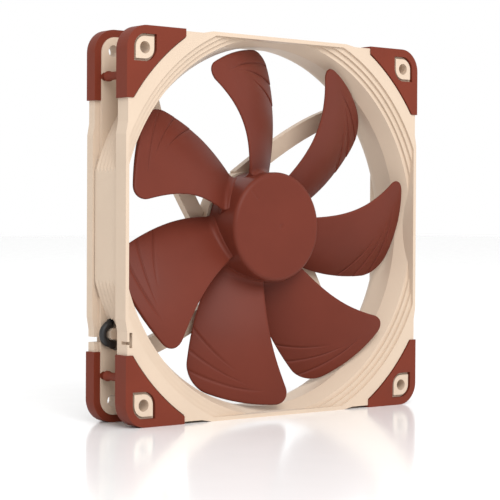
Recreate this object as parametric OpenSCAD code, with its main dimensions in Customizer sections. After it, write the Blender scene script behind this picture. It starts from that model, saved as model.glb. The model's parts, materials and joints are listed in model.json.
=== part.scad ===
// Case fan for a computer: square frame, swept impeller on a brushless motor, rubber corner pads
// and a sleeved cable. X runs across the intake face, Y from intake to outlet, Z is up.
// The origin is on the shaft axis at half the depth, so the fan stands on z = -frame_size / 2.

/* [Frame] */
// Outer width and height over the pads
frame_size = 140; // [139:0.5:141]
// Distance between the screw holes
hole_pitch = 124.5; // [124:0.25:125]
// Screw hole diameter
hole_d = 4.3; // [4:0.1:4.5]
// Depth from intake face to outlet face, without the pads
frame_depth = 24.2; // [24:0.1:24.6]
// Inner diameter of the duct
bore_d = 134.4; // [134:0.2:134.8]
// Width of each strut
strut_w = 6.5; // [5:0.5:8]

/* [Impeller] */
// Number of blades
blade_count = 7; // [5:1:9]
// Gap between a blade tip and the duct
tip_gap = 0.8; // [0.6:0.1:1.4]
// Outer diameter of the hub cap
hub_d = 40.8; // [40.6:0.1:41.2]
// Thickness of a blade at its middle
blade_t = 1.9; // [1.4:0.1:2.2]

/* [Pads] */
// Thickness of the pad plate on the flange
pad_plate_t = 1.5; // [1.3:0.1:1.6]
// Width of the pad rim round the flange edge
pad_rim_w = 2.7; // [2.5:0.1:2.8]
// Distance from a pad's leg end to the centre plane
pad_leg_end = 44.6; // [44:0.2:46]

/* [Motor] */
// Shaft diameter
shaft_d = 3; // [2.8:0.1:3.2]
// Radial running clearance of the shaft in its bush
shaft_clearance = 0.03; // [0.02:0.01:0.06]
// Number of stator poles
pole_count = 4; // [4:1:4]

/* [Cable] */
// Diameter of the sleeved cable
cable_d = 2.7; // [2.4:0.1:2.8]

/* [Hidden] */
$fn = 96;
half = frame_size / 2;
hole_at = hole_pitch / 2;
floor_z = -half;
tiny = 0.2;

// Frame: places along Y
front_y = -frame_depth / 2;
rear_y = frame_depth / 2;
front_flange_back = -5.9;
rear_flange_front = 7;
rear_strip_front = 8.5;
pad_seat = 1.1;
front_seat_y = front_y + pad_seat;
rear_seat_y = rear_y - pad_seat;

// Frame: outline
side_inset = 0.8;
side_full_z = 32.2;
side_ramp_z = 36.6;
seat_half = half - pad_rim_w;
seat_corner_r = 5.8;
band_r = 80.3;
wall_r = 72.1;
panel_half = half - 0.7;
flute_h = 0.6;
flute_pitch = 2.2;

// Duct: three square steps, then a taper to the bore, then the outlet flare
bore_r = bore_d / 2;
step_rs = [75.2, 73.4, 71.6, 70];
step_h = 0.97;
bore_front_y = -3;
bore_back_y = 5;
flare_r = 7.2;
inlet_flat = half - 1.4;
outlet_flat = half - 2.2;

// Screw bosses
boss_w = 7.8;
boss_h = 0.1;
window_w = 9.6;
peg_x = 66.1;
peg_z = 53;
peg_r = 1.45;
peg_bulb_r = 1.85;

// Struts and motor base
strut_front_y = 8.9;
strut_path = [[-3.5, 18.2], [13, 29.2], [33, 42], [51, 45.4]];
strut_end = [57.5, 46.6];
strut_steps = 12;
base_r = 21;
base_wall_t = 1.5;
base_front_y = 6.3;
base_floor_y = 10.6;
tube_r = 5.2;
tube_bore_r = 4;
tube_front_y = -5.6;

// Rotor
hub_r = hub_d / 2;
hub_face_y = -10.3;
hub_back_y = 5.6;
hub_wall = 1.5;
hub_round = 1.8;
yoke_r = hub_r - hub_wall;
yoke_t = 0.8;
yoke_front_y = hub_face_y + hub_wall;
magnet_front_y = yoke_front_y + yoke_t;
magnet_back_y = 4.6;
magnet_t = 2;
shaft_r = shaft_d / 2;
shaft_end_y = 9.2;
shaft_boss_r = 3.8;
shaft_boss_back_y = -6.3;
clip_y = 8.45;
clip_t = 0.4;
clip_groove_r = 1.2;
clip_r = 2.3;

// Bearing
shell_bore_r = 3;
bush_front_y = -4.6;
bush_back_y = 7.6;
shell_floor_y = 9.9;
thrust_front_y = 9.3;

// Stator
core_front_y = -3.6;
core_back_y = 3;
core_ring_r = 8;
tooth_w = 5;
shoe_in_r = 13.4;
shoe_out_r = 15.5;
shoe_half_angle = 33;
insulator_t = 0.8;
winding_t = 1.6;
winding_in_r = 8.6;
winding_out_r = 12.5;
board_front_y = 6.6;
board_t = 1;
board_r = 18.6;

// Blades: surface of the pressure side, s runs from hub to tip, u from leading to trailing edge.
// Each list holds the constant, linear, square and cubic terms along s.
tip_r = bore_r - tip_gap;
first_blade_angle = 112;
lead_angle = [0, -16.1, 44.4, -18.8];
trail_angle = [-45.8, 21.9, -1.3, -0.4];
lead_y = [-3.4, -18.5, 9.8, 1.2];
trail_y = [5.35, 2.45, -10.7, 6.7];
camber_root = 1;
camber_tip = 2;
edge_t = 0.9;
root_r = hub_r - 0.9;
lead_corner_u = 0.17;
lead_corner_h = 6.8;
trail_corner_u = 0.8;
trail_corner_h = 8;
span_steps = 10;
chord_steps = 16;

// Cable clip at the lower left corner: points are [x, z]
clip_in = [-63.2, -34.3];
clip_tooth = [[-65.4, -37.3], [-64.4, -36.2], [-61.8, -36.2], [-61.8, -40.1], [-64.9, -40.1],
    [-65.4, -39.5]];
clip_tooth_front_y = 3.5;
clip_out = [-60.8, -42.6];
groove_w = cable_d + 0.3;
clip_hole_r = groove_w / 2 + 0.25;
groove_y = rear_y - cable_d - 0.05;
lead_y_in_groove = rear_y - cable_d / 2;

// The held length of cable: from the board along the strut, through the flange, round the tooth
// and back out through the flange. Points are [x, y, z].
lead_start = [[-0.6, 9.2, -13.6], [-1.2, 9.7, -16], [-2, 10.3, -18.6], [-3.2, 10.7, -21.3]];
lead_clip = [[-49.6, 10.75, -45], [-52.2, 10.75, -44.2], [-54.6, 10.75, -42.2],
    [-57, 10.75, -40], [-59.5, 10.7, -37.7], [-61.8, 10.3, -35.6], [-63, 9, -34.5],
    [-63.2, 7.4, -34.3], [-64.2, 6.1, -34.5], [-65.8, 5.6, -35.3], [-67, 5.6, -36.6],
    [-67.4, 5.6, -38.2], [-67.1, 5.6, -39.8], [-66.1, 5.6, -41], [-64.7, 5.8, -41.6],
    [-63, 6.5, -41.9], [-61.7, 7.8, -42.3], [-61, 9.6, -42.6], [-60.8, rear_y, -42.6]];

// The free cable from the flange down to its hank
cable_route = [[-60.8, rear_y, -42.6], [-60.8, 14.2, -42.6], [-60.75, 16.2, -43.1],
    [-60.6, 18, -44.3], [-60.2, 19.3, -46.1], [-59.6, 20, -48.2], [-58.8, 20.3, -50.3],
    [-57.7, 20.4, -52.4], [-56.4, 20.4, -54.5], [-55, 20.3, -56.6], [-53.5, 20.2, -58.7],
    [-52.1, 20, -60.8], [-50.7, 19.8, -63], [-49.2, 19.5, -65], [-47.5, 19.2, -66.7]];
cable_sides = 8;
lead_sides = 12;

// Hank on the floor behind the fan: the middles and radii of its two rounded ends, [x, y]
hank_h = 3;
hank_left = [-45, 24.35];
hank_left_r = 9.45;
hank_right = [-22, 27.925];
hank_right_r = 13.025;
hank_tail_x = -22.8;
hank_tail_y = 39.6;
tie_x = -36;
tie_w = 2.4;
tie_t = 0.5;
tie_reach = 6.4;

// Plug housing: length along X, width along Y, height along Z
plug_l = 12;
plug_w = 10.2;
plug_h = 5.8;
plug_wall_back = 2;
contact_pitch = 2.54;
contact_w = 1.8;
contact_hole = 1;

// Colours
beige = [0.87, 0.78, 0.7];
brown = [0.46, 0.23, 0.17];
black = [0.06, 0.06, 0.06];
steel = [0.7, 0.7, 0.72];
brass = [0.8, 0.65, 0.3];
copper = [0.75, 0.4, 0.2];

// ---- helpers ----

// Draws a flat shape in the XZ plane and gives it depth from y0 to y1
module depth(y0, y1) {
    translate([0, y1, 0])
        rotate([90, 0, 0])
            linear_extrude(y1 - y0)
                children();
}

// Turns a profile of [radius, y] points round the shaft axis
module spin() {
    rotate([-90, 0, 0])
        rotate_extrude()
            children();
}

// A plain ring or disc on the shaft axis
module ring(r_in, r_out, y0, y1) {
    spin()
        translate([r_in, y0])
            square([r_out - r_in, y1 - y0]);
}

// A square of the given half width with rounded corners
module rounded_square(half_w, r) {
    square([2 * half_w, 2 * (half_w - r)], center = true);
    square([2 * (half_w - r), 2 * half_w], center = true);
    for (sx = [-1, 1], sz = [-1, 1])
        translate([sx * (half_w - r), sz * (half_w - r)])
            circle(r);
}

// Repeats its child in the four quadrants by mirroring
module in_corners() {
    for (mx = [0, 1], mz = [0, 1])
        mirror([mx, 0, 0])
            mirror([0, 0, mz])
                children();
}

// A value from its constant, linear, square and cubic terms
function terms(c, s) = c[0] + s * (c[1] + s * (c[2] + s * c[3]));

// A point on a curve with four control points
function bezier(p, t) = pow(1 - t, 3) * p[0] + 3 * t * pow(1 - t, 2) * p[1]
    + 3 * t * t * (1 - t) * p[2] + pow(t, 3) * p[3];

function unit(v) = v / norm(v);

// Direction of a route at point i
function heading(route, i) =
    unit(route[min(i + 1, len(route) - 1)] - route[max(i - 1, 0)]);

// Carries a side direction along a route without twisting it
function side_list(route, i = 0, side = undef, done = []) = i == len(route)
    ? done
    : let (
        h = heading(route, i),
        start = is_undef(side) ? cross(h, [0.1, 0.2, 1]) : side,
        next = unit(start - (start * h) * h)
    ) side_list(route, i + 1, next, concat(done, [next]));

// A round tube that follows a route as one closed solid
module tube_along(route, r, sides) {
    side = side_list(route);
    points = [for (i = [0 : len(route) - 1], k = [0 : sides - 1])
        let (up = cross(heading(route, i), side[i]), a = 360 * k / sides)
        route[i] + r * (cos(a) * side[i] + sin(a) * up)];
    walls = [for (i = [0 : len(route) - 2], k = [0 : sides - 1])
        let (a = i * sides + k, b = i * sides + (k + 1) % sides)
        each [[a, a + sides, b], [b, a + sides, b + sides]]];
    last = (len(route) - 1) * sides;
    ends = [[for (k = [0 : sides - 1]) k], [for (k = [sides - 1 : -1 : 0]) last + k]];
    polyhedron(points, concat(walls, ends));
}

// ---- frame ----

// The flange's full-height part between the pads
module flange_band() {
    for (turn = [0, 90])
        rotate(turn)
            polygon([for (q = [[1, 1], [-1, 1], [-1, -1], [1, -1]])
                let (side = [[half, side_full_z], [half - side_inset, side_ramp_z],
                    [half - side_inset, pad_leg_end]],
                    run = q[0] * q[1] > 0 ? [0, 1, 2] : [2, 1, 0])
                each [for (i = run) [q[0] * side[i][0], q[1] * side[i][1]]]]);
    intersection() {
        circle(band_r);
        square(2 * seat_half, center = true);
    }
}

module flange_outline() {
    flange_band();
    rounded_square(seat_half, seat_corner_r);
}

// A square with its two corners on the diagonal through the fan's centre rounded off
module leaf(w) {
    intersection() {
        square(w, center = true);
        union() {
            circle(w / 2);
            translate([-w / 2, 0])
                square(w / 2);
            translate([0, -w / 2])
                square(w / 2);
        }
    }
}

module duct() {
    intersection() {
        spin()
            polygon(concat(
                [[0, rear_y + tiny], [0, front_y - tiny], [step_rs[0], front_y - tiny]],
                [for (i = [0 : 2], k = [0, 1]) [step_rs[i + k], front_y + (i + 1) * step_h]],
                [[bore_r, bore_front_y]],
                [for (a = [0 : 10 : 80]) [bore_r + flare_r * (1 - cos(a)),
                    bore_back_y + flare_r * sin(a)]],
                [[bore_r + flare_r, rear_y + tiny]]));
        union() {
            translate([-inlet_flat, -30, -inlet_flat])
                cube([2 * inlet_flat, 30, 2 * inlet_flat]);
            translate([-outlet_flat, -1, -outlet_flat])
                cube([2 * outlet_flat, 30, 2 * outlet_flat]);
        }
    }
}

// Flat outline of a strut of width w, from the motor base to the duct and on to the given end
module strut_outline(w, end = []) {
    middle = concat([for (i = [0 : strut_steps]) bezier(strut_path, i / strut_steps)], end);
    across = [for (i = [0 : len(middle) - 1])
        let (h = heading(middle, i)) w / 2 * [-h[1], h[0]]];
    polygon(concat(
        [for (i = [0 : len(middle) - 1]) middle[i] + across[i]],
        [for (i = [len(middle) - 1 : -1 : 0]) middle[i] - across[i]]));
}

module struts() {
    for (turn = [0 : 90 : 270])
        depth(strut_front_y, rear_y)
            difference() {
                rotate(turn)
                    strut_outline(strut_w, [strut_end]);
                circle(base_r - base_wall_t / 2);
            }
}

module motor_base() {
    ring(0, base_r, base_floor_y, rear_y);
    ring(base_r - base_wall_t, base_r, base_front_y, base_floor_y);
    ring(tube_bore_r, tube_r, tube_front_y, base_floor_y);
}

// Wall between the flanges, with shallow flutes round its outside
module ring_wall() {
    y0 = front_flange_back - 1;
    y1 = rear_flange_front + 1;
    intersection() {
        spin()
            polygon(concat(
                [[bore_r - 1, y1], [bore_r - 1, y0]],
                [for (y = [y0 : flute_pitch / 4 : y1])
                    [wall_r + flute_h / 2 * sin(360 * (y - y0) / flute_pitch), y]],
                [[wall_r, y1]]));
        cube([2 * panel_half, 60, 2 * panel_half], center = true);
    }
}

// Cuts for the cable: strut channel, groove in the outlet flange, the way in and the way out
module cable_way() {
    depth(groove_y, rear_y + tiny)
        difference() {
            rotate(180)
                strut_outline(groove_w);
            circle(base_r - base_wall_t / 2);
        }
    depth(groove_y, rear_y + tiny)
        polygon([[-2.2, -13], [1, -13], [-1.4, -22.5], [-4.8, -22.5]]);
    run = clip_in + strut_path[3];
    depth(groove_y, rear_y + tiny)
        translate(-strut_path[3])
            rotate(atan2(run[1], run[0]))
                translate([-1, -groove_w / 2])
                    square([norm(run) + 1, groove_w]);
    for (p = [clip_in, clip_out, clip_out + [-0.7, 0.3], clip_out + [-1.6, 0.6]])
        depth(4, rear_y + tiny)
            translate(p)
                circle(clip_hole_r);
}

// Notch in the left edge of the outlet flange, where the cable is pushed in
module edge_notch() {
    depth(rear_flange_front - 1, rear_y + tiny)
        translate([-half - 1, -41.2])
            square([5.4, 1.9]);
}

// T-shaped slit in the intake flange beside the clip
module t_slit() {
    depth(front_y - tiny, -8.4) {
        translate([-68.3, -42])
            square([1.2, 5.3]);
        translate([-half - 1, -40.9])
            square([3.3, 1.1]);
    }
}

module frame() {
    color(beige)
        difference() {
            union() {
                difference() {
                    union() {
                        depth(front_y, front_seat_y)
                            flange_band();
                        depth(front_seat_y, front_flange_back)
                            flange_outline();
                        ring_wall();
                        depth(rear_flange_front, rear_seat_y)
                            intersection() {
                                flange_outline();
                                rounded_square(seat_half, seat_corner_r);
                            }
                        depth(rear_strip_front, rear_seat_y)
                            flange_outline();
                        depth(rear_seat_y, rear_y)
                            flange_band();
                        in_corners() {
                            translate([hole_at, 0, hole_at])
                                depth(front_y - boss_h, front_seat_y)
                                    leaf(boss_w);
                            translate([hole_at, 0, hole_at])
                                depth(rear_seat_y, rear_y + boss_h)
                                    leaf(boss_w);
                        }
                    }
                    duct();
                }
                struts();
                motor_base();
                depth(clip_tooth_front_y, rear_flange_front + 1)
                    polygon(clip_tooth);
            }
            in_corners() {
                translate([hole_at, 0, hole_at])
                    rotate([90, 0, 0])
                        cylinder(h = 40, d = hole_d, center = true);
                translate([peg_x, 0, peg_z])
                    rotate([90, 0, 0])
                        cylinder(h = 40, r = peg_r, center = true);
            }
            cable_way();
            edge_notch();
            t_slit();
        }
}

// ---- pads ----

module pad_outline() {
    intersection() {
        rounded_square(half, seat_corner_r + pad_rim_w);
        translate([pad_leg_end, pad_leg_end])
            square(half);
    }
}

// Pad of the upper right corner on the intake side; its peg holds it in the flange
module front_pad() {
    pad_y = front_seat_y - pad_plate_t;
    depth(pad_y, front_seat_y)
        difference() {
            pad_outline();
            circle(band_r + 0.4);
            translate([hole_at, hole_at])
                leaf(window_w);
        }
    depth(pad_y, front_flange_back)
        difference() {
            pad_outline();
            rounded_square(seat_half, seat_corner_r);
        }
    translate([peg_x, 0, peg_z])
        spin()
            polygon([[0, front_seat_y], [peg_r, front_seat_y], [peg_r, 2.8], [peg_bulb_r, 3.9],
                [peg_bulb_r, 4.9], [0.9, 6.2], [0, 6.2]]);
}

// Pad of the upper right corner on the outlet side
module rear_pad() {
    pad_y = rear_seat_y + pad_plate_t;
    depth(rear_seat_y, pad_y)
        difference() {
            pad_outline();
            circle(band_r + 0.4);
            translate([hole_at, hole_at])
                leaf(window_w);
        }
    depth(rear_flange_front + 0.4, pad_y)
        difference() {
            pad_outline();
            rounded_square(seat_half, seat_corner_r);
        }
    translate([peg_x, 0, peg_z])
        ring(0, peg_r, rear_flange_front, rear_seat_y);
}

// Places a pad: sx and sz are 1 or -1 for right or left and for top or bottom
module pad_at(sx, sz) {
    color(brown)
        mirror([sx < 0 ? 1 : 0, 0, 0])
            mirror([0, 0, sz < 0 ? 1 : 0])
                children();
}

// ---- rotor ----

function tip_at(u) = tip_r
    - (u < lead_corner_u
        ? lead_corner_h * (1 - sqrt(1 - pow((lead_corner_u - u) / lead_corner_u, 2))) : 0)
    - (u > trail_corner_u
        ? trail_corner_h * (1 - sqrt(1 - pow((u - trail_corner_u) / (1 - trail_corner_u), 2))) : 0);

// Blade point: u along the chord, v along the span, back = 1 on the rear side
function blade_point(u, v, back) =
    let (
        r = root_r + v * (tip_at(u) - root_r),
        s = (r - hub_r) / (tip_r - hub_r),
        a0 = terms(lead_angle, s),
        a1 = terms(trail_angle, s),
        y0 = terms(lead_y, s),
        y1 = terms(trail_y, s),
        bulge = (camber_root + (camber_tip - camber_root) * s) * 4 * u * (1 - u),
        chord = unit([(a1 - a0) * PI / 180 * r, y1 - y0]),
        thick = back * (edge_t + (blade_t - edge_t) * sin(180 * u)),
        a = a0 + (a1 - a0) * u + thick * chord[1] / r * 180 / PI,
        y = y0 + (y1 - y0) * u - bulge - thick * chord[0]
    ) [r * cos(a), y, r * sin(a)];

// One blade as a closed solid: rings run round the chord, from root to tip
module blade() {
    n = 2 * (chord_steps + 1);
    us = [for (i = [0 : chord_steps]) (1 - cos(180 * i / chord_steps)) / 2];
    points = [for (j = [0 : span_steps], i = [0 : n - 1])
        i <= chord_steps ? blade_point(us[i], j / span_steps, 0)
            : blade_point(us[n - 1 - i], j / span_steps, 1)];
    walls = [for (j = [0 : span_steps - 1], i = [0 : n - 1])
        let (a = j * n + i, b = j * n + (i + 1) % n)
        each [[a, a + n, b], [b, a + n, b + n]]];
    top = span_steps * n;
    ends = [for (i = [0 : chord_steps - 1])
        let (c = n - 1 - i, d = n - 2 - i)
        each [[i, i + 1, d], [i, d, c],
            [top + i, top + d, top + i + 1], [top + i, top + c, top + d]]];
    polyhedron(points, concat(walls, ends));
}

module impeller() {
    color(brown) {
        difference() {
            spin()
                polygon(concat(
                    [[0, hub_face_y], [hub_r - hub_round, hub_face_y]],
                    [for (a = [15 : 15 : 90]) [hub_r - hub_round + hub_round * sin(a),
                        hub_face_y + hub_round * (1 - cos(a))]],
                    [[hub_r, hub_back_y], [yoke_r, hub_back_y], [yoke_r, yoke_front_y],
                        [0, yoke_front_y]]));
            // Gate mark left by the moulding
            translate([2, hub_face_y, 0])
                ring(0, 0.8, -1, 0.25);
        }
        for (i = [0 : blade_count - 1])
            rotate([0, i * 360 / blade_count - first_blade_angle, 0])
                blade();
    }
}

module rotor_yoke() {
    color(steel)
        spin()
            polygon([[shaft_r, yoke_front_y], [yoke_r, yoke_front_y], [yoke_r, magnet_back_y + 0.4],
                [yoke_r - yoke_t, magnet_back_y + 0.4], [yoke_r - yoke_t, magnet_front_y],
                [shaft_r, magnet_front_y]]);
}

module rotor_magnet() {
    color([0.2, 0.2, 0.22])
        ring(yoke_r - yoke_t - magnet_t, yoke_r - yoke_t, magnet_front_y, magnet_back_y);
}

module shaft() {
    color(steel)
        spin()
            polygon([[0, yoke_front_y], [shaft_r, yoke_front_y], [shaft_r, clip_y - clip_t / 2],
                [clip_groove_r, clip_y - clip_t / 2], [clip_groove_r, clip_y + clip_t / 2],
                [shaft_r, clip_y + clip_t / 2], [shaft_r, shaft_end_y - 0.3],
                [shaft_r - 0.3, shaft_end_y], [0, shaft_end_y]]);
}

module shaft_boss() {
    color(brass)
        ring(shaft_r, shaft_boss_r, magnet_front_y, shaft_boss_back_y);
}

// Snap ring with an open side
module shaft_clip() {
    color(steel)
        difference() {
            ring(clip_groove_r, clip_r, clip_y - clip_t / 2, clip_y + clip_t / 2);
            translate([0, clip_y - 1, -0.6])
                cube([4, 2, 1.2]);
        }
}

// ---- bearing ----

module bearing_shell() {
    color(brass)
        spin()
            polygon([[shell_bore_r, tube_front_y], [tube_bore_r, tube_front_y],
                [tube_bore_r, base_floor_y], [0, base_floor_y], [0, shell_floor_y],
                [shell_bore_r, shell_floor_y]]);
}

module bearing_bush() {
    color([0.6, 0.45, 0.25])
        ring(shaft_r + shaft_clearance, shell_bore_r, bush_front_y, bush_back_y);
}

module oil_seal_ring() {
    color(black)
        ring(shaft_r + 0.2, shell_bore_r, tube_front_y, bush_front_y);
}

module thrust_pad() {
    color("ivory")
        ring(0, shell_bore_r - 0.4, thrust_front_y, shell_floor_y);
}

// ---- stator ----

// Repeats its child once for each pole
module at_poles() {
    for (i = [0 : pole_count - 1])
        rotate([0, i * 360 / pole_count, 0])
            children();
}

module pole_shoe() {
    intersection() {
        difference() {
            circle(shoe_out_r);
            circle(shoe_in_r);
        }
        polygon([[0, 0], 30 * [cos(shoe_half_angle), sin(shoe_half_angle)],
            30 * [cos(shoe_half_angle), -sin(shoe_half_angle)]]);
    }
}

module stator_core() {
    color(steel) {
        ring(tube_r, core_ring_r, core_front_y, core_back_y);
        at_poles()
            depth(core_front_y, core_back_y) {
                translate([core_ring_r - 0.5, -tooth_w / 2])
                    square([shoe_in_r - core_ring_r + 1, tooth_w]);
                pole_shoe();
            }
    }
}

// Moulded insulator on one end of the core; the shoe wall keeps the winding in
module insulator(y0, y1, wall_y0, wall_y1) {
    color("ivory") {
        ring(tube_r, core_ring_r, y0, y1);
        at_poles() {
            depth(y0, y1)
                translate([core_ring_r - 0.5, -tooth_w / 2])
                    square([shoe_in_r - core_ring_r + 1, tooth_w]);
            depth(wall_y0, wall_y1)
                pole_shoe();
        }
    }
}

module front_insulator() {
    insulator(core_front_y - insulator_t, core_front_y, core_front_y - 2.2, core_front_y);
}

module rear_insulator() {
    insulator(core_back_y, core_back_y + insulator_t, core_back_y, core_back_y + 2.2);
    color("ivory")
        at_poles()
            translate([(shoe_in_r + shoe_out_r) / 2, 0, 0])
                ring(0, 0.8, core_back_y + 2, board_front_y);
}

module stator_windings() {
    front = core_front_y - insulator_t;
    back = core_back_y + insulator_t;
    wide = tooth_w / 2 + winding_t;
    color(copper)
        at_poles()
            difference() {
                translate([winding_in_r, front - winding_t, -wide])
                    cube([winding_out_r - winding_in_r, back - front + 2 * winding_t, 2 * wide]);
                translate([0, front, -tooth_w / 2])
                    cube([20, back - front, tooth_w]);
            }
}

module circuit_board() {
    color([0.1, 0.3, 0.2])
        ring(tube_r + 0.1, board_r, board_front_y, board_front_y + board_t);
}

// Parts on the outlet side of the board
module driver_chip() {
    color(black)
        translate([-13, board_front_y + board_t, 4])
            cube([5, 1.5, 4]);
}

module capacitors() {
    color([0.6, 0.5, 0.4])
        for (x = [6, 10])
            translate([x, board_front_y + board_t, 6])
                cube([1.6, 1.2, 3.2]);
}

module solder_joints() {
    color(steel)
        for (i = [0 : 3])
            translate([1.6 + i * 2, 0, -13])
                ring(0, 0.6, board_front_y + board_t, board_front_y + board_t + 0.6);
}

// Sits between two pole shoes, close to the magnet
module hall_sensor() {
    color(black)
        rotate([0, -45, 0])
            translate([12.6, board_front_y - 2.4, -1.5])
                cube([1.6, 2.4, 3]);
}

module rear_label() {
    color([0.75, 0.72, 0.68])
        ring(0, 18, rear_y, rear_y + 0.15);
}

// ---- cable ----

module lead_in_frame() {
    strut_run = [for (i = [2 : strut_steps - 1])
        let (p = bezier(strut_path, i / strut_steps)) [-p[0], lead_y_in_groove, -p[1]]];
    color(black)
        tube_along(concat(lead_start, strut_run, lead_clip), cable_d / 2 - 0.02, lead_sides);
}

module cable() {
    color(black)
        tube_along(cable_route, cable_d / 2, cable_sides);
}

module cable_hank() {
    color(black)
        translate([0, 0, floor_z])
            linear_extrude(hank_h) {
                translate(hank_left)
                    circle(hank_left_r);
                intersection() {
                    translate(hank_right)
                        circle(hank_right_r);
                    translate([hank_right[0], 0])
                        square(2 * hank_tail_y);
                }
                polygon([
                    [hank_left[0], hank_left[1] - hank_left_r],
                    [hank_right[0], hank_left[1] - hank_left_r],
                    [hank_right[0], hank_left[1] + hank_left_r],
                    [hank_left[0], hank_left[1] + hank_left_r]]);
                translate([hank_tail_x, hank_tail_y - cable_d / 2])
                    square([hank_right[0] - hank_tail_x, cable_d]);
            }
}

// Strap over the near side of the hank
module cable_tie() {
    near_y = hank_left[1] - hank_left_r;
    color([0.15, 0.15, 0.15])
        translate([tie_x, near_y, floor_z]) {
            translate([0, -tie_t, 0.6])
                cube([tie_w, tie_t, hank_h - 0.6 + tie_t]);
            translate([0, 0, hank_h])
                cube([tie_w, tie_reach, tie_t]);
        }
}

// Repeats its child for the four ways of the plug, seen from its mating end
module at_contacts() {
    for (i = [-1.5 : 1 : 1.5])
        translate([hank_tail_x - plug_l, hank_tail_y + i * contact_pitch, floor_z + plug_h / 2])
            children();
}

module connector_housing() {
    color(black)
        difference() {
            union() {
                translate([hank_tail_x - plug_l, hank_tail_y - plug_w / 2, floor_z])
                    cube([plug_l, plug_w, plug_h - 0.8]);
                // Two guide ribs that key the plug
                for (y = [-3, 1.2])
                    translate([hank_tail_x - plug_l, hank_tail_y + y, floor_z + plug_h - 0.8])
                        cube([plug_l - 2, 1, 0.8]);
            }
            at_contacts()
                translate([-1, -contact_w / 2, -contact_w / 2])
                    cube([plug_l - plug_wall_back + 1, contact_w, contact_w]);
        }
}

module connector_contacts() {
    color(brass)
        at_contacts()
            translate([0.6, 0, 0])
                difference() {
                    translate([0, -contact_w / 2, -contact_w / 2])
                        cube([8.4, contact_w, contact_w]);
                    translate([-1, -contact_hole / 2, -contact_hole / 2])
                        cube([7.4, contact_hole, contact_hole]);
                }
}

frame();
pad_at(-1, 1) front_pad();  // front_pad_top_left
pad_at(1, 1) front_pad();  // front_pad_top_right
pad_at(-1, -1) front_pad();  // front_pad_bottom_left
pad_at(1, -1) front_pad();  // front_pad_bottom_right
pad_at(-1, 1) rear_pad();  // rear_pad_top_left
pad_at(1, 1) rear_pad();  // rear_pad_top_right
pad_at(-1, -1) rear_pad();  // rear_pad_bottom_left
pad_at(1, -1) rear_pad();  // rear_pad_bottom_right
impeller();
rotor_yoke();
rotor_magnet();
shaft();
shaft_boss();
shaft_clip();
bearing_shell();
bearing_bush();
oil_seal_ring();
thrust_pad();
stator_core();
front_insulator();
rear_insulator();
stator_windings();
circuit_board();
driver_chip();
hall_sensor();
capacitors();
solder_joints();
rear_label();
lead_in_frame();
cable();
cable_hank();
cable_tie();
connector_housing();
connector_contacts();
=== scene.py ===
"""Looks of a case fan: square frame, swept impeller, rubber corner pads and a sleeved cable."""
import json
import math

import bmesh
import bpy
from mathutils import Matrix, Vector


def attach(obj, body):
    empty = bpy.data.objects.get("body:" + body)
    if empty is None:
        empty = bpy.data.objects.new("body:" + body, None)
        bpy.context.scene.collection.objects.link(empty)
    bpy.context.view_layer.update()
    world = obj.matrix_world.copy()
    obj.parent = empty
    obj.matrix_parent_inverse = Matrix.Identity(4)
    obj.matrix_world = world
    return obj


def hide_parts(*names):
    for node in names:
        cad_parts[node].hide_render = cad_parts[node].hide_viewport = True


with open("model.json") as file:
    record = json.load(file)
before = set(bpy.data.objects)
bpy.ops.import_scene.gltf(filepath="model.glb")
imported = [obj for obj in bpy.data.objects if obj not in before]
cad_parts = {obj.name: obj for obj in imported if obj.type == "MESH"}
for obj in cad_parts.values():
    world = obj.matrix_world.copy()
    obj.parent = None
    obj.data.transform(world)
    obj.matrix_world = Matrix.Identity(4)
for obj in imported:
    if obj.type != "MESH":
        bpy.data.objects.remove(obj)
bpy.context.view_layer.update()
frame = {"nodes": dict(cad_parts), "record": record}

MM = 0.001
HALF = 70.0
FLOOR_Z = -HALF
REAR_Y = 12.1


# ---- helpers ----

def place(obj, body="housing"):
    """Puts a new piece in the scene, on its body."""
    bpy.context.scene.collection.objects.link(obj)
    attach(obj, body)
    return obj


def mesh_object(name, points_mm, faces, material, smooth=True):
    """A mesh from points in millimetres, with welded seams and outward normals."""
    mesh = bpy.data.meshes.new(name)
    mesh.from_pydata([(x * MM, y * MM, z * MM) for x, y, z in points_mm], [], faces)
    work = bmesh.new()
    work.from_mesh(mesh)
    bmesh.ops.remove_doubles(work, verts=work.verts, dist=1e-6)
    bmesh.ops.dissolve_degenerate(work, edges=work.edges, dist=1e-7)
    bmesh.ops.recalc_face_normals(work, faces=work.faces)
    for face in work.faces:
        face.smooth = smooth
    work.to_mesh(mesh)
    work.free()
    mesh.materials.append(material)
    return bpy.data.objects.new(name, mesh)


def spline_object(name, points_mm, radius_mm, material):
    """A round cord along one open spline."""
    curve = bpy.data.curves.new(name, "CURVE")
    curve.dimensions = "3D"
    curve.bevel_depth = radius_mm * MM
    curve.bevel_resolution = 6
    curve.use_fill_caps = True
    spline = curve.splines.new("POLY")
    spline.points.add(len(points_mm) - 1)
    for point, (x, y, z) in zip(spline.points, points_mm):
        point.co = (x * MM, y * MM, z * MM, 1)
    curve.materials.append(material)
    return bpy.data.objects.new(name, curve)


def smooth_path(route, steps=6):
    """Points on one smooth curve through every point of a route."""
    points = [Vector(p) for p in route]
    ends = [2 * points[0] - points[1]] + points + [2 * points[-1] - points[-2]]
    path = []
    for a, b, c, d in zip(ends, ends[1:], ends[2:], ends[3:]):
        for i in range(steps):
            t = i / steps
            path.append(0.5 * (2 * b + t * (c - a) + t * t * (2 * a - 5 * b + 4 * c - d)
                               + t ** 3 * (3 * b - a - 3 * c + d)))
    return path + [points[-1]]


def arc(centre, radius, start, end, z, steps=24):
    """Flat arc on the floor, between two angles in degrees."""
    angles = [math.radians(start + (end - start) * i / steps) for i in range(steps + 1)]
    return [(centre[0] + radius * math.cos(a), centre[1] + radius * math.sin(a), z) for a in angles]


# ---- materials ----

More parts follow.
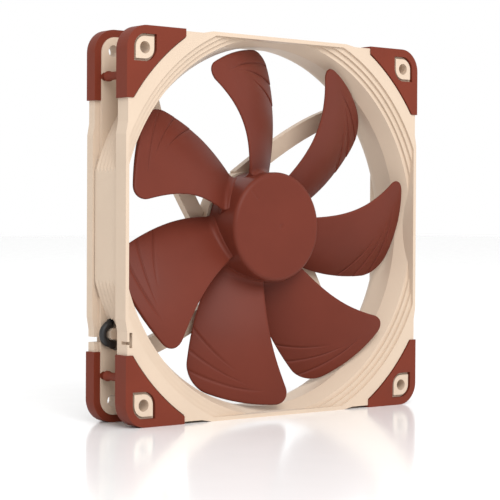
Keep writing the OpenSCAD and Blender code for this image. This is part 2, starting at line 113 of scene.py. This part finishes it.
def material(name, color, roughness, grain=900.0, bump=0.08, shade=0.06, metallic=0.0,
             coat=0.0, specular=0.5, streak=(1.0, 1.0, 1.0)):
    """A surface with fine moulded or machined grain, soft colour mottling and uneven gloss."""
    mat = bpy.data.materials.new(name)
    mat.use_nodes = True
    nodes, links = mat.node_tree.nodes, mat.node_tree.links
    shader = nodes["Principled BSDF"]
    shader.inputs["Metallic"].default_value = metallic
    shader.inputs["Coat Weight"].default_value = coat
    shader.inputs["Coat Roughness"].default_value = 0.25
    shader.inputs["Specular IOR Level"].default_value = specular
    place_node = nodes.new("ShaderNodeTexCoord")
    stretch = nodes.new("ShaderNodeMapping")
    stretch.inputs["Scale"].default_value = streak
    links.new(place_node.outputs["Object"], stretch.inputs["Vector"])

    broad = nodes.new("ShaderNodeTexNoise")
    broad.inputs["Scale"].default_value = 60.0
    broad.inputs["Detail"].default_value = 3.0
    links.new(stretch.outputs["Vector"], broad.inputs["Vector"])
    tint = nodes.new("ShaderNodeValToRGB")
    tint.color_ramp.elements[0].position = 0.3
    tint.color_ramp.elements[1].position = 0.7
    tint.color_ramp.elements[0].color = (*[c * (1 - shade) for c in color], 1)
    tint.color_ramp.elements[1].color = (*[min(1, c * (1 + shade)) for c in color], 1)
    links.new(broad.outputs["Fac"], tint.inputs["Fac"])
    links.new(tint.outputs["Color"], shader.inputs["Base Color"])

    gloss = nodes.new("ShaderNodeMapRange")
    gloss.inputs["To Min"].default_value = roughness * 0.88
    gloss.inputs["To Max"].default_value = min(1.0, roughness * 1.12)
    links.new(broad.outputs["Fac"], gloss.inputs["Value"])
    links.new(gloss.outputs["Result"], shader.inputs["Roughness"])

    fine = nodes.new("ShaderNodeTexNoise")
    fine.inputs["Scale"].default_value = grain
    fine.inputs["Detail"].default_value = 2.0
    links.new(stretch.outputs["Vector"], fine.inputs["Vector"])
    relief = nodes.new("ShaderNodeBump")
    relief.inputs["Strength"].default_value = bump
    relief.inputs["Distance"].default_value = 0.0002
    links.new(fine.outputs["Fac"], relief.inputs["Height"])
    links.new(relief.outputs["Normal"], shader.inputs["Normal"])
    return mat


BEIGE = material("frame_beige", (0.57, 0.45, 0.345), 0.45, grain=1400, bump=0.05, shade=0.02,
                 specular=0.25)
BROWN = material("impeller_brown", (0.128, 0.0265, 0.0157), 0.42, grain=1600, bump=0.05, shade=0.05,
                 specular=0.12)
RUBBER = material("pad_silicone", (0.15, 0.025, 0.011), 0.55, grain=1100, bump=0.1, shade=0.05,
                  specular=0.2)
SLEEVE = material("cable_sleeve", (0.012, 0.012, 0.013), 0.45, grain=2600, bump=0.5, shade=0.2)
BLACK = material("black_plastic", (0.015, 0.015, 0.016), 0.35, shade=0.1)
BAND = material("tie_rubber", (0.02, 0.02, 0.02), 0.6, grain=2000, bump=0.3, shade=0.15)
STEEL = material("steel", (0.6, 0.6, 0.62), 0.28, metallic=1.0, streak=(1, 12, 1), bump=0.06)
MAGNET = material("magnet", (0.05, 0.05, 0.055), 0.55, grain=2500, bump=0.2)
BRASS = material("brass", (0.72, 0.48, 0.2), 0.3, metallic=1.0, streak=(1, 10, 1))
BRONZE = material("sintered_bronze", (0.42, 0.26, 0.12), 0.55, metallic=1.0, grain=4000, bump=0.4)
NYLON = material("white_nylon", (0.78, 0.75, 0.66), 0.45, shade=0.03)
COPPER = material("copper_wire", (0.7, 0.26, 0.1), 0.3, metallic=1.0, streak=(1, 1, 14), bump=0.3,
                  grain=2200)
BOARD = material("circuit_board", (0.02, 0.11, 0.05), 0.3, shade=0.15, coat=0.3)
CERAMIC = material("ceramic", (0.4, 0.28, 0.18), 0.5)
SOLDER = material("solder", (0.7, 0.7, 0.72), 0.2, metallic=1.0, bump=0.2)
LABEL = material("label_paper", (0.58, 0.53, 0.47), 0.6, grain=3000, bump=0.1, shade=0.02)
SLOT_LOOKS = {
    "frame_plastic": BEIGE, "impeller_plastic": BROWN, "pad_silicone": RUBBER, "steel": STEEL,
    "magnet": MAGNET, "brass": BRASS, "sintered_bronze": BRONZE, "black_rubber": BAND,
    "white_nylon": NYLON, "copper": COPPER, "board": BOARD, "black_plastic": BLACK,
    "ceramic": CERAMIC, "solder": SOLDER, "label": LABEL, "cable_sleeve": SLEEVE,
}


# ---- camera ----

CAMERA_AT = (-396.33, -481.77, 2.05)
CAMERA_YAW, CAMERA_PITCH, CAMERA_ROLL = 39.085, -0.992, 0.293
CAMERA_LENS = 119.2


def make_camera():
    """The main view, with the camera's own roll."""
    yaw, pitch, roll = (math.radians(a) for a in (CAMERA_YAW, CAMERA_PITCH, CAMERA_ROLL))
    ahead = Vector((math.sin(yaw) * math.cos(pitch), math.cos(yaw) * math.cos(pitch),
                    math.sin(pitch)))
    level = Vector((math.cos(yaw), -math.sin(yaw), 0))
    upright = level.cross(ahead)
    right = level * math.cos(roll) + upright * math.sin(roll)
    up = upright * math.cos(roll) - level * math.sin(roll)
    data = bpy.data.cameras.new("camera")
    data.sensor_width = 36.0
    data.lens = CAMERA_LENS
    data.clip_end = 20.0
    camera = bpy.data.objects.new("camera", data)
    turn = Matrix((right, up, -ahead)).transposed().to_4x4()
    camera.matrix_world = Matrix.Translation(Vector(CAMERA_AT) * MM) @ turn
    bpy.context.scene.collection.objects.link(camera)
    bpy.context.scene.camera = camera


# ---- cable ----

CABLE_D = 2.7
LAY_Z = FLOOR_Z + CABLE_D / 2
EXIT = (-60.8, REAR_Y, -42.6)
CABLE_ROUTE = [
    EXIT, (-60.8, 14.2, -42.6), (-60.75, 16.2, -43.1), (-60.6, 18, -44.3), (-60.2, 19.3, -46.1),
    (-59.6, 20, -48.2), (-58.8, 20.3, -50.3), (-57.7, 20.4, -52.4), (-56.4, 20.4, -54.5),
    (-55, 20.3, -56.6), (-53.5, 20.2, -58.7), (-52.1, 20, -60.8), (-50.7, 19.8, -63),
    (-49.2, 19.5, -65), (-47.5, 19.2, -66.7), (-45.5, 19, -67.9), (-43.2, 18.95, -68.5),
    (-40.8, 18.95, LAY_Z)]
HANK_LEFT_X, HANK_RIGHT_X = -45, -22
RUN_Y = (18.95, 32.45, 16.25, 39.6)
TAIL_X = -22.8
TIE_X, TIE_W, TIE_T = -34.8, 2.4, 0.35
PLUG_MID_Z = FLOOR_Z + 2.9
RISE_STEPS, TIE_STEPS = 12, 12
SHRINK_POINTS, SHRINK_T = 8, 0.25
# The tied runs lie below this y, and lift over the strap within about this length
NEAR_RUNS_Y, TIE_RISE = 21, 3.5


def hank_path():
    """One and a half flat turns that grow outward, then the tail up into the plug."""
    turns = [(HANK_RIGHT_X, RUN_Y[0], RUN_Y[1], -90, 90), (HANK_LEFT_X, RUN_Y[2], RUN_Y[1], 90, 270),
             (HANK_RIGHT_X, RUN_Y[2], RUN_Y[3], -90, 90)]
    points = []
    for x, y0, y1, start, end in turns:
        points += arc((x, (y0 + y1) / 2), (y1 - y0) / 2, start, end, LAY_Z)
    lift = PLUG_MID_Z - LAY_Z
    rising = len(points) - RISE_STEPS
    for i in range(RISE_STEPS):
        t = (i + 1) / RISE_STEPS
        x, y, z = points[rising + i]
        points[rising + i] = (x, y, z + lift * t * t * (3 - 2 * t))
    return points + [(TAIL_X - 0.4, RUN_Y[3], LAY_Z + lift)]


def fill_runs(points, gap=1.5):
    """Adds points along the straight runs, and lifts the cable over the strap of the tie."""
    dense = []
    for a, b in zip(points, points[1:]):
        a, b = Vector(a), Vector(b)
        steps = max(1, round((b - a).length / gap))
        dense += [a.lerp(b, i / steps) for i in range(steps)]
    dense.append(Vector(points[-1]))
    for point in dense:
        if point.y < NEAR_RUNS_Y and point.z < LAY_Z + 0.2:
            point.z += TIE_T * math.exp(-((point.x - TIE_X) / TIE_RISE) ** 2)
    return dense


def make_cable():
    """The free cable from the exit to the plug, with its shrunk sleeve and the tie of its hank."""
    path = smooth_path(CABLE_ROUTE) + fill_runs([CABLE_ROUTE[-1]] + hank_path())[1:]
    cable = place(spline_object("free_cable", path, CABLE_D / 2, SLEEVE))
    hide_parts("cable", "cable_hank")

    # Shrunk sleeve over the cable's end, where its four wires enter the plug
    shrink_path = [p for p in path[-SHRINK_POINTS:] if p.x > TAIL_X]
    shrink = place(spline_object("heat_shrink", shrink_path, CABLE_D / 2 + SHRINK_T, BAND))

    tie = make_tie()


def make_tie():
    """A flat band closed round the hank's two near runs."""
    y0, y1 = RUN_Y[2], RUN_Y[0]
    inner_r = CABLE_D / 2
    outline = []
    for centre, start in ((y1, -90), (y0, 90)):
        for i in range(TIE_STEPS + 1):
            a = math.radians(start + 180 * i / TIE_STEPS)
            outline.append((centre + math.cos(a) * inner_r, math.sin(a) * inner_r,
                            math.cos(a), math.sin(a)))
    points, faces = [], []
    sides = ((-1, 0), (-0.8, 1), (0.8, 1), (1, 0))
    for y, z, ny, nz in outline:
        for across, out in sides:
            points.append((TIE_X + across * TIE_W / 2, y + ny * TIE_T * out,
                           LAY_Z + TIE_T + z + nz * TIE_T * out))
    n, m = len(outline), len(sides)
    for i in range(n):
        for k in range(m):
            a, b = i * m + k, i * m + (k + 1) % m
            c, d = ((i + 1) % n) * m + (k + 1) % m, ((i + 1) % n) * m + k
            faces.append((a, b, c, d))
    tie = place(mesh_object("hank_tie", points, faces, BAND, smooth=False))
    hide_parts("cable_tie")
    return tie


# Control points (x, z) of one strut's curve; the cable lies on the strut half a turn round from it
STRUT_PATH = [(-3.5, 18.2), (13, 29.2), (33, 42), (51, 45.4)]
STRUT_STEPS = 12
LEAD_START = [(-0.6, 9.2, -13.6), (-1.2, 9.7, -16), (-2, 10.3, -18.6), (-3.2, 10.7, -21.3)]
LEAD_CLIP = [
    (-49.6, 10.75, -45), (-52.2, 10.75, -44.2), (-54.6, 10.75, -42.2), (-57, 10.75, -40),
    (-59.5, 10.7, -37.7), (-61.8, 10.3, -35.6), (-63, 9, -34.5), (-63.2, 7.4, -34.3),
    (-64.2, 6.1, -34.5), (-65.8, 5.6, -35.3), (-67, 5.6, -36.6), (-67.4, 5.6, -38.2),
    (-67.1, 5.6, -39.8), (-66.1, 5.6, -41), (-64.7, 5.8, -41.6), (-63, 6.5, -41.9),
    (-61.7, 7.8, -42.3), (-61, 9.6, -42.6), EXIT]


def make_lead():
    """The length of cable that the frame holds, along the strut and through the clip."""
    start, pull_out, pull_in, end = (Vector(v) for v in STRUT_PATH)
    along_strut = []
    for i in range(2, STRUT_STEPS):
        t = i / STRUT_STEPS
        v = ((1 - t) ** 3 * start + 3 * t * (1 - t) ** 2 * pull_out + 3 * t * t * (1 - t) * pull_in
             + t ** 3 * end)
        along_strut.append((-v.x, REAR_Y - CABLE_D / 2, -v.y))
    path = smooth_path(LEAD_START + along_strut + LEAD_CLIP)
    lead = place(spline_object("lead", path, CABLE_D / 2, SLEEVE))
    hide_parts("lead_in_frame")


# ---- impeller ----

HUB_R = 20.4
TIP_R = 66.4
ROOT_R = HUB_R - 0.9
HUB_FACE_Y, HUB_BACK_Y = -10.3, 5.6
HUB_WALL, HUB_ROUND = 1.5, 1.8
BLADES = 7
FIRST_BLADE = 112
LEAD_ANGLE = (0, -16.1, 44.4, -18.8)
TRAIL_ANGLE = (-45.8, 21.9, -1.3, -0.4)
LEAD_Y = (-3.4, -18.5, 9.8, 1.2)
TRAIL_Y = (5.35, 2.45, -10.7, 6.7)
BLADE_T, EDGE_T, EDGE_ROUND = 1.9, 0.9, 0.45
ROOT_FILLET = 2.2
# Rounded tip corners: share of the chord and drop in radius, leading and trailing
TIP_CORNERS = ((0.17, 6.8), (0.2, 8.0))
# Flow channels near the tip: span place at the trailing edge, slope, and where each fades out
CHANNELS = ((0.57, 0.40, 0.52), (0.74, 0.19, 0.40), (0.89, 0.0, 0.24))
CHANNEL_DEPTH, GROOVE_DEPTH, GROOVE_HALF = 0.2, 0.36, 0.3
FIRST_CHANNEL, CHANNEL_CURVE = 0.2, 1.6
FADE_START, FADE_LENGTH = 0.05, 0.35
# At a rounded tip corner the rows of the lines stay below the tip, this far in and this far apart
LINE_MARGIN, LINE_STEP = 2.6, 0.8
# Mesh rows from the root to the first line, from line to line, and from the last line to the tip
ROWS_TO_LINE, ROWS_TO_TIP = (24, 8, 6), 5
# Mesh columns along the chord: their number, and how far they crowd towards the edges
CHORD_COUNT, CROWDING = 52, 0.35
# Extra columns on the rounded leading and trailing edges, and where the others begin
EDGE_STATIONS, EDGE_ZONE = (0, 0.0008, 0.003, 0.007, 0.012), 0.015


def terms(c, s):
    """A cubic in s, from its four terms."""
    return c[0] + s * (c[1] + s * (c[2] + s * c[3]))


def tip_at(u):
    """Tip radius along the chord; both tip corners are rounded."""
    drop = 0.0
    for (share, depth), from_edge in zip(TIP_CORNERS, (u, 1 - u)):
        if from_edge < share:
            drop = depth * (1 - math.sqrt(max(0, 1 - (1 - from_edge / share) ** 2)))
    return TIP_R - drop


def span_of(r):
    """0 at the hub's side, 1 at the tip."""
    return (r - HUB_R) / (TIP_R - HUB_R)


def channel_span(channel, u):
    """Where a channel's line crosses the span, at chord place u."""
    start, slope, fade = channel
    return start + slope * (1 - max(u, fade))


def channel_depth(u, s):
    """How far the face is sunk: deepest just inside each line, rising gently towards the hub."""
    depth = 0.0
    for i, channel in enumerate(CHANNELS):
        line = channel_span(channel, u)
        inner = channel_span(CHANNELS[i - 1], u) if i else line - FIRST_CHANNEL
        fade = min(1.0, max(0.0, (u - channel[2] + FADE_START) / FADE_LENGTH))
        fade *= fade * (3 - 2 * fade)
        reach = (line - s) / (line - inner)
        if 0 <= reach < 1:
            depth += CHANNEL_DEPTH * fade * (1 - reach) ** CHANNEL_CURVE
        off = abs(line - s) * (TIP_R - HUB_R) / GROOVE_HALF
        depth += GROOVE_DEPTH * fade * max(0.0, 1 - off)
    return depth


def edge_round(distance):
    """1 inside, falling to 0 at an edge along a quarter circle."""
    if distance >= EDGE_ROUND:
        return 1.0
    return math.sqrt(max(0.0, 1 - (1 - distance / EDGE_ROUND) ** 2))


def blade_point(u, r, back):
    """Angle, depth and radius of a point on a blade's front or back face."""
    s = span_of(r)
    a0, a1 = terms(LEAD_ANGLE, s), terms(TRAIL_ANGLE, s)
    y0, y1 = terms(LEAD_Y, s), terms(TRAIL_Y, s)
    chord = Vector((math.radians(a1 - a0) * r, y1 - y0))
    length = chord.length
    chord.normalize()
    full = EDGE_T + (BLADE_T - EDGE_T) * math.sin(math.pi * u)
    near_end = min(u, 1 - u) * length
    thick = full * edge_round(near_end) * edge_round(tip_at(u) - r)
    fillet = 0.0
    if r < HUB_R + ROOT_FILLET:
        gap = min(ROOT_FILLET, max(0.0, r - HUB_R))
        fillet = ROOT_FILLET - math.sqrt(ROOT_FILLET ** 2 - (ROOT_FILLET - gap) ** 2)
    offset = (full + thick) / 2 + fillet if back else (full - thick) / 2 - fillet
    if not back:
        offset += channel_depth(u, s) * min(1, thick / full)
    bulge = (1 + s) * 4 * u * (1 - u)
    angle = math.radians(a0 + (a1 - a0) * u) + offset * chord.y / r
    y = y0 + (y1 - y0) * u - bulge - offset * chord.x
    return angle, y, r


def span_rows(u):
    """Radii of the mesh rows at u: close rows at the channel lines, at the root and at the tip."""
    tip = tip_at(u)
    lines = [min(HUB_R + channel_span(c, u) * (TIP_R - HUB_R), tip - LINE_MARGIN + LINE_STEP * i)
             for i, c in enumerate(CHANNELS)]
    rows = [ROOT_R, HUB_R] + [HUB_R + ROOT_FILLET * t for t in (0.1, 0.25, 0.5, 0.75, 1)]
    start = rows[-1]
    for line, steps in zip(lines, ROWS_TO_LINE):
        low = line - GROOVE_HALF
        rows += [start + (low - start) * i / steps for i in range(1, steps + 1)]
        rows += [line - 0.02, line + 0.1, line + GROOVE_HALF]
        start = rows[-1]
    end = tip - EDGE_ROUND
    rows += [start + (end - start) * i / ROWS_TO_TIP for i in range(1, ROWS_TO_TIP + 1)]
    rows += [tip - EDGE_ROUND * t for t in (0.7, 0.4, 0.2, 0.08, 0)]
    return rows


def chord_stations():
    """Places along the chord, a little closer together at both edges."""
    crowded = [(1 - math.cos(math.pi * i / CHORD_COUNT)) / 2 for i in range(CHORD_COUNT + 1)]
    return [CROWDING * c + (1 - CROWDING) * i / CHORD_COUNT for i, c in enumerate(crowded)]


def make_blade_mesh():
    """One blade as a grid of points that runs round its section, and the faces between them."""
    middle = [u for u in chord_stations() if EDGE_ZONE < u < 1 - EDGE_ZONE]
    us = sorted({*EDGE_STATIONS, *middle, *(1 - e for e in EDGE_STATIONS)})
    columns = [(u, 0) for u in us] + [(u, 1) for u in reversed(us)]
    grid = [[blade_point(u, r, back) for r in span_rows(u)] for u, back in columns]
    rows = len(grid[0])
    faces = []
    n = len(columns)
    for i in range(n):
        for j in range(rows - 1):
            a, b = i * rows + j, ((i + 1) % n) * rows + j
            faces.append((a, b, b + 1, a + 1))
    half = len(us)
    for i in range(half - 1):
        c = n - 1 - i
        faces.append((i * rows, c * rows, (c - 1) * rows, (i + 1) * rows))
        faces.append((i * rows + rows - 1, (i + 1) * rows + rows - 1, (c - 1) * rows + rows - 1,
                      c * rows + rows - 1))
    return [p for column in grid for p in column], faces


# Marks on the hub cap, and the rings of mesh that carry them
GATE_X, GATE_R, GATE_DEPTH = 2, 1.1, 0.25
MARK_ENDS = ((-14.6, 15.6), (-9.4, 10.4))
MARK_HALF, MARK_DEPTH = 0.6, 0.18
CAP_RINGS, CAP_RING_STEP = 58, 0.32
HUB_TURNS = 288


def cap_relief(x, z):
    """Depth of the marks on the hub cap: the gate dimple and one short slanting groove."""
    depth = 0.0
    gate = math.hypot(x - GATE_X, z)
    if gate < GATE_R:
        depth += GATE_DEPTH * (1 - (gate / GATE_R) ** 4)
    a, b = (Vector(end) for end in MARK_ENDS)
    along = max(0.0, min(1.0, (Vector((x, z)) - a).dot(b - a) / (b - a).length_squared))
    off = (Vector((x, z)) - a.lerp(b, along)).length
    if off < MARK_HALF:
        depth += MARK_DEPTH * (1 - (off / MARK_HALF) ** 2)
    return depth


def make_hub_mesh():
    """The hub cap as one closed cup."""
    rings = [(0.001, HUB_FACE_Y)] + [(CAP_RING_STEP * i, HUB_FACE_Y) for i in range(1, CAP_RINGS)]
    rings += [(HUB_R - HUB_ROUND + HUB_ROUND * math.sin(math.radians(a)),
               HUB_FACE_Y + HUB_ROUND * (1 - math.cos(math.radians(a)))) for a in range(0, 91, 10)]
    rings += [(HUB_R, -6), (HUB_R, 0), (HUB_R, HUB_BACK_Y - 0.3), (HUB_R - 0.1, HUB_BACK_Y - 0.1),
              (HUB_R - 0.3, HUB_BACK_Y), (HUB_R - HUB_WALL, HUB_BACK_Y),
              (HUB_R - HUB_WALL, HUB_FACE_Y + HUB_WALL), (0.001, HUB_FACE_Y + HUB_WALL)]
    points, faces = [], []
    for k, (r, y) in enumerate(rings):
        for i in range(HUB_TURNS):
            a = 2 * math.pi * i / HUB_TURNS
            x, z = r * math.cos(a), r * math.sin(a)
            sink = cap_relief(x, z) if k < CAP_RINGS else 0
            points.append((x, y + sink, z))
    for k in range(len(rings) - 1):
        inner, outer = k * HUB_TURNS, (k + 1) * HUB_TURNS
        for i in range(HUB_TURNS):
            j = (i + 1) % HUB_TURNS
            faces.append((inner + i, inner + j, outer + j, outer + i))
    faces.append(tuple(range(HUB_TURNS)))
    last = (len(rings) - 1) * HUB_TURNS
    faces.append(tuple(range(last, last + HUB_TURNS)))
    return points, faces


def make_impeller():
    """Hub cap and blades, joined as one moulding."""
    points, faces = make_hub_mesh()
    blade_points, blade_faces = make_blade_mesh()
    for k in range(BLADES):
        first = len(points)
        turn = math.radians(FIRST_BLADE - k * 360 / BLADES)
        points += [(r * math.cos(a + turn), y, r * math.sin(a + turn)) for a, y, r in blade_points]
        faces += [tuple(first + i for i in face) for face in blade_faces]
    impeller = mesh_object("impeller_moulding", points, faces, BROWN)
    place(impeller, "rotor")
    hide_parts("impeller")


# ---- carried-over CAD pieces ----

PAD_ROUND = 0.9


def soften(obj):
    """Moulded radii on a pad's sharp edges."""
    weld = obj.modifiers.new("weld", "WELD")
    weld.merge_threshold = 2e-6
    flat = obj.modifiers.new("flat", "DECIMATE")
    flat.decimate_type = "DISSOLVE"
    flat.angle_limit = math.radians(0.6)
    bevel = obj.modifiers.new("edges", "BEVEL")
    bevel.width = PAD_ROUND * MM
    bevel.segments = 4
    bevel.limit_method = "ANGLE"
    bevel.angle_limit = math.radians(35)
    bevel.harden_normals = True


def dress_cad_nodes():
    """Gives every carried-over node the look of its slot, and rounds the pads."""
    subparts = {s["node"]: s["material_slot"] for s in frame["record"]["subparts"]}
    for node, obj in frame["nodes"].items():
        look = SLOT_LOOKS[subparts[node]]
        for slot in obj.material_slots:
            slot.link = "OBJECT"
            slot.material = look
        if subparts[node] == "pad_silicone":
            soften(obj)


# ---- floor and light ----

FLOOR_HALF = 6.0
KEY_AT, KEY_SIZE, KEY_POWER = (-0.3, -0.9, 0.7), 0.8, 11.0


def make_floor():
    """A white, slightly glossy floor at the fan's lowest point."""
    mesh = bpy.data.meshes.new("floor")
    z = FLOOR_Z * MM
    corners = [(-FLOOR_HALF, -FLOOR_HALF, z), (FLOOR_HALF, -FLOOR_HALF, z),
               (FLOOR_HALF, FLOOR_HALF, z), (-FLOOR_HALF, FLOOR_HALF, z)]
    mesh.from_pydata(corners, [], [(0, 1, 2, 3)])
    floor = bpy.data.objects.new("floor", mesh)
    look = material("floor_white", (0.93, 0.93, 0.93), 0.14, grain=20, bump=0.0, shade=0.0,
                    specular=0.3)
    mesh.materials.append(look)
    bpy.context.scene.collection.objects.link(floor)


def make_key_light():
    """A square softbox in front, above and to the left, aimed at the fan's centre."""
    data = bpy.data.lights.new("key", "AREA")
    data.shape = "SQUARE"
    data.size = KEY_SIZE
    data.energy = KEY_POWER
    lamp = bpy.data.objects.new("key", data)
    lamp.location = KEY_AT
    lamp.rotation_euler = (-Vector(KEY_AT)).to_track_quat("-Z", "Y").to_euler()
    bpy.context.scene.collection.objects.link(lamp)


def make_surroundings():
    """White all round, and plain colour display."""
    world = bpy.data.worlds.new("studio")
    world.use_nodes = True
    world.node_tree.nodes["Background"].inputs["Color"].default_value = (1, 1, 1, 1)
    world.node_tree.nodes["Background"].inputs["Strength"].default_value = 1.0
    bpy.context.scene.world = world
    scene = bpy.context.scene
    scene.view_settings.view_transform = "Standard"
    scene.view_settings.look = "None"


make_camera()
make_cable()
make_lead()
make_impeller()
dress_cad_nodes()
make_floor()
make_surroundings()
make_key_light()
